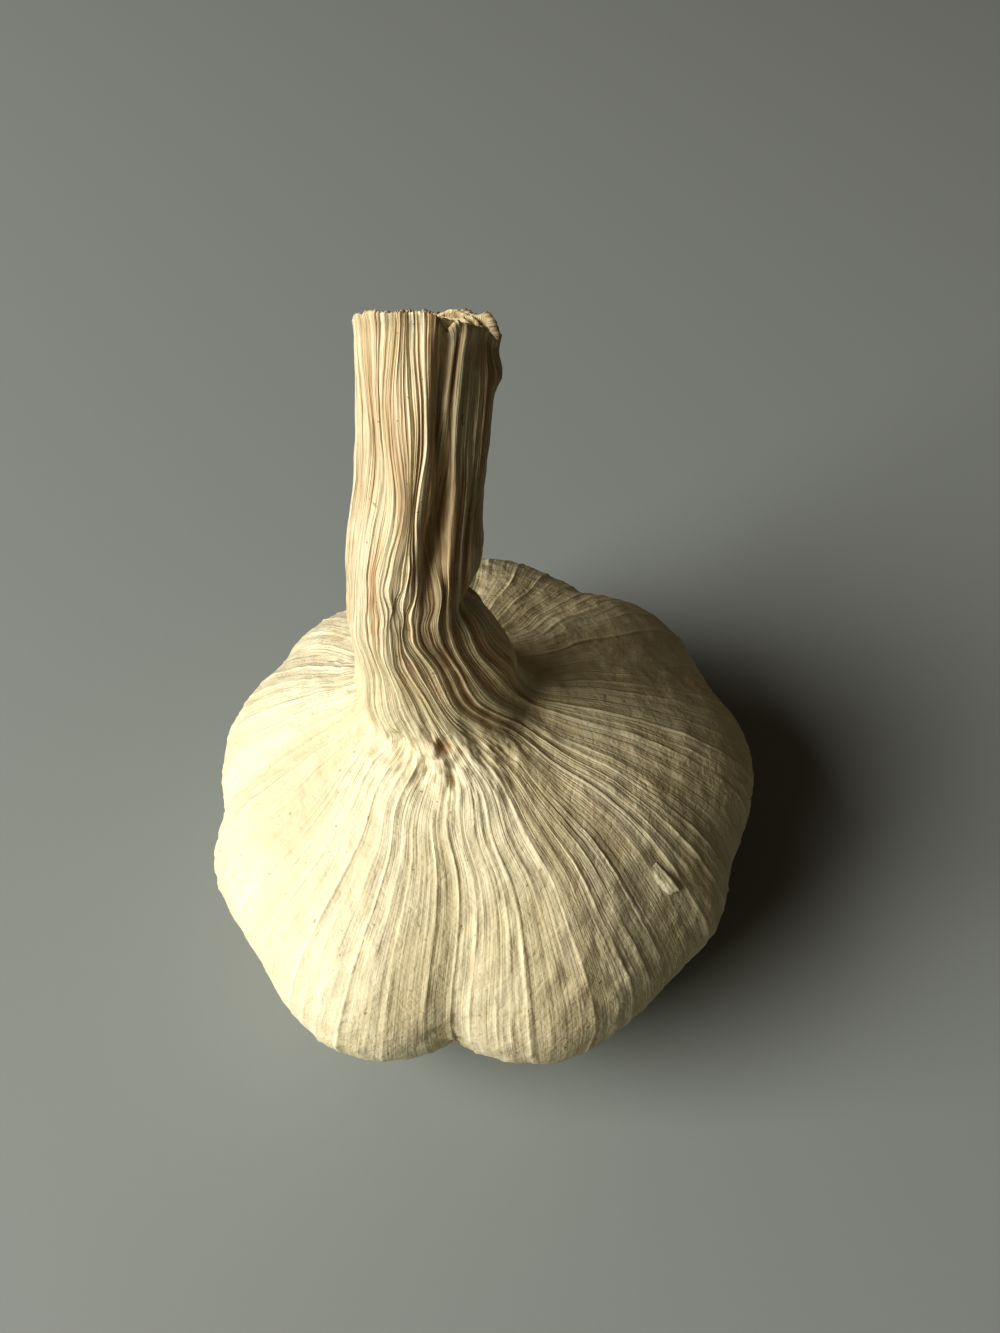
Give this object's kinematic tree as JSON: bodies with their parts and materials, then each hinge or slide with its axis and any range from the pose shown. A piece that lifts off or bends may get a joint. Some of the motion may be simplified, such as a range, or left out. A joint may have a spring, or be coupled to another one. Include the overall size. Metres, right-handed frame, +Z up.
{
  "type": "garlic bulb",
  "caption": "Whole dry garlic bulb with lobed cloves under papery skin, a leaning neck and a short cut stem, standing on its flat root plate.",
  "frame": {"origin": "centre of the root plate's flat underside, on the surface that the bulb stands on", "axes": "+Z up along the bulb's axis, +X towards the side that the neck leans away from, +Y towards the side that the stem leans back to"},
  "size_m": [0.0579, 0.0585, 0.076],
  "materials": {
    "dry_skin": "dry, papery, matt, with fine raised veins"
  },
  "bodies": {
    "root": {"garlic_bulb": "dry_skin"}
  },
  "joints": []
}
